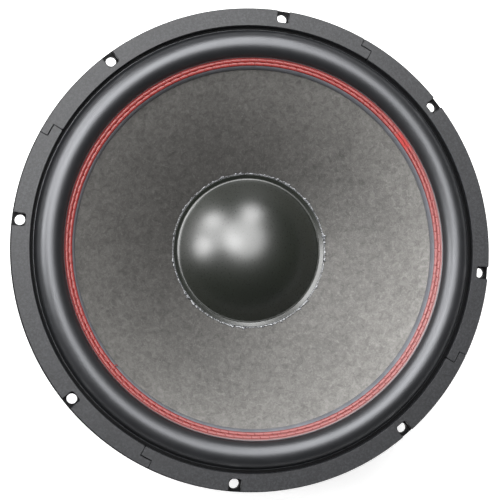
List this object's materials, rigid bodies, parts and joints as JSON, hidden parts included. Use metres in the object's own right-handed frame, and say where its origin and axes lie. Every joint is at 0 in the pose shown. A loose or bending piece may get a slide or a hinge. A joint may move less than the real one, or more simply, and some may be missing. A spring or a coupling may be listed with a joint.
{
  "type": "subwoofer driver",
  "caption": "Round low-frequency loudspeaker driver with a cast basket, rolled stitched surround, paper cone, gloss dust cap, ferrite motor and push terminals.",
  "frame": {"origin": "centre of the magnet system's rear face, on the coil's axis; the part lies on that face", "axes": "+Z along the sound axis towards the listener; +X through the right terminals, midway between two mounting holes"},
  "size_m": [0.3924, 0.3924, 0.196],
  "materials": {
    "cast_frame": "satin black textured powder coat on an aluminium casting",
    "gasket_fibre": "matt dark grey foamed gasket, fine speckle",
    "surround_rubber": "satin black moulded rubber",
    "stitch_thread": "red polyester thread, twisted",
    "cone_paper": "warm grey-black long-fibre paper, mottled",
    "dust_cap_plastic": "glossy black",
    "clear_adhesive": "cloudy clear adhesive bead",
    "former_tube": "dark brown polyimide tube",
    "coil_copper": "enamelled copper wire",
    "black_adhesive": "black adhesive and paper collar",
    "spider_cloth": "dark impregnated woven cloth",
    "spacer_plastic": "black moulded plastic",
    "motor_steel": "black coated steel",
    "ferrite": "dull dark grey sintered ferrite",
    "shorting_aluminium": "turned",
    "boot_rubber": "matt black moulded rubber",
    "screen_metal": "black woven wire",
    "black_screw": "black oxide steel",
    "terminal_plastic": "black moulded plastic",
    "button_red": "red moulded plastic",
    "button_black": "black moulded plastic",
    "nickel_plate": "nickel plated",
    "tinsel_braid": "tinned copper braid on a cotton core"
  },
  "bodies": {
    "frame": {"basket": "cast_frame", "gasket_segment_1": "gasket_fibre", "gasket_segment_2": "gasket_fibre", "gasket_segment_3": "gasket_fibre", "gasket_segment_4": "gasket_fibre", "surround": "surround_rubber", "spider_lower": "spider_cloth", "spider_upper": "spider_cloth", "spider_spacer": "spacer_plastic", "yoke": "motor_steel", "top_plate": "motor_steel", "magnet_lower": "ferrite", "magnet_upper": "ferrite", "shorting_ring": "shorting_aluminium", "magnet_boot": "boot_rubber", "vent_screen": "screen_metal", "basket_bolt_1": "black_screw", "basket_bolt_2": "black_screw", "basket_bolt_3": "black_screw", "basket_bolt_4": "black_screw", "basket_bolt_5": "black_screw", "basket_bolt_6": "black_screw", "basket_bolt_7": "black_screw", "basket_bolt_8": "black_screw", "terminal_housing_right": "terminal_plastic", "button_spring_right_red": "nickel_plate", "solder_tab_right_red": "nickel_plate", "tinsel_lead_right_red": "tinsel_braid", "terminal_screw_right_red": "black_screw", "button_spring_right_black": "nickel_plate", "solder_tab_right_black": "nickel_plate", "tinsel_lead_right_black": "tinsel_braid", "terminal_screw_right_black": "black_screw", "terminal_housing_left": "terminal_plastic", "button_spring_left_red": "nickel_plate", "solder_tab_left_red": "nickel_plate", "tinsel_lead_left_red": "tinsel_braid", "terminal_screw_left_red": "black_screw", "button_spring_left_black": "nickel_plate", "solder_tab_left_black": "nickel_plate", "tinsel_lead_left_black": "tinsel_braid", "terminal_screw_left_black": "black_screw"},
    "cone_assembly": {"cone": "cone_paper", "dust_cap": "dust_cap_plastic", "dust_cap_glue_bead": "clear_adhesive", "stitch_thread_outer": "stitch_thread", "stitch_thread_inner": "stitch_thread", "coil_former": "former_tube", "coil_winding_inner": "coil_copper", "coil_winding_outer": "coil_copper", "neck_collar": "black_adhesive"},
    "button_right_red": {"push_button_right_red": "button_red"},
    "button_right_black": {"push_button_right_black": "button_black"},
    "button_left_red": {"push_button_left_red": "button_red"},
    "button_left_black": {"push_button_left_black": "button_black"}
  },
  "joints": [
    {"name": "cone_excursion", "type": "slide", "parent": "frame", "child": "cone_assembly", "axis": [0, 0, 1], "range_m": [-0.014, 0.014], "stiffness_N_per_m": 9000, "deforming": ["surround", "spider_lower", "spider_upper", "tinsel_lead_right_red", "tinsel_lead_right_black", "tinsel_lead_left_red", "tinsel_lead_left_black"]},
    {"name": "push_right_red", "type": "slide", "parent": "frame", "child": "button_right_red", "axis": [0, 0, 1], "range_m": [0, 0.004], "stiffness_N_per_m": 1500, "springref_m": -0.003, "deforming": ["button_spring_right_red"]},
    {"name": "push_right_black", "type": "slide", "parent": "frame", "child": "button_right_black", "axis": [0, 0, 1], "range_m": [0, 0.004], "stiffness_N_per_m": 1500, "springref_m": -0.003, "deforming": ["button_spring_right_black"]},
    {"name": "push_left_red", "type": "slide", "parent": "frame", "child": "button_left_red", "axis": [0, 0, 1], "range_m": [0, 0.004], "stiffness_N_per_m": 1500, "springref_m": -0.003, "deforming": ["button_spring_left_red"]},
    {"name": "push_left_black", "type": "slide", "parent": "frame", "child": "button_left_black", "axis": [0, 0, 1], "range_m": [0, 0.004], "stiffness_N_per_m": 1500, "springref_m": -0.003, "deforming": ["button_spring_left_black"]}
  ]
}
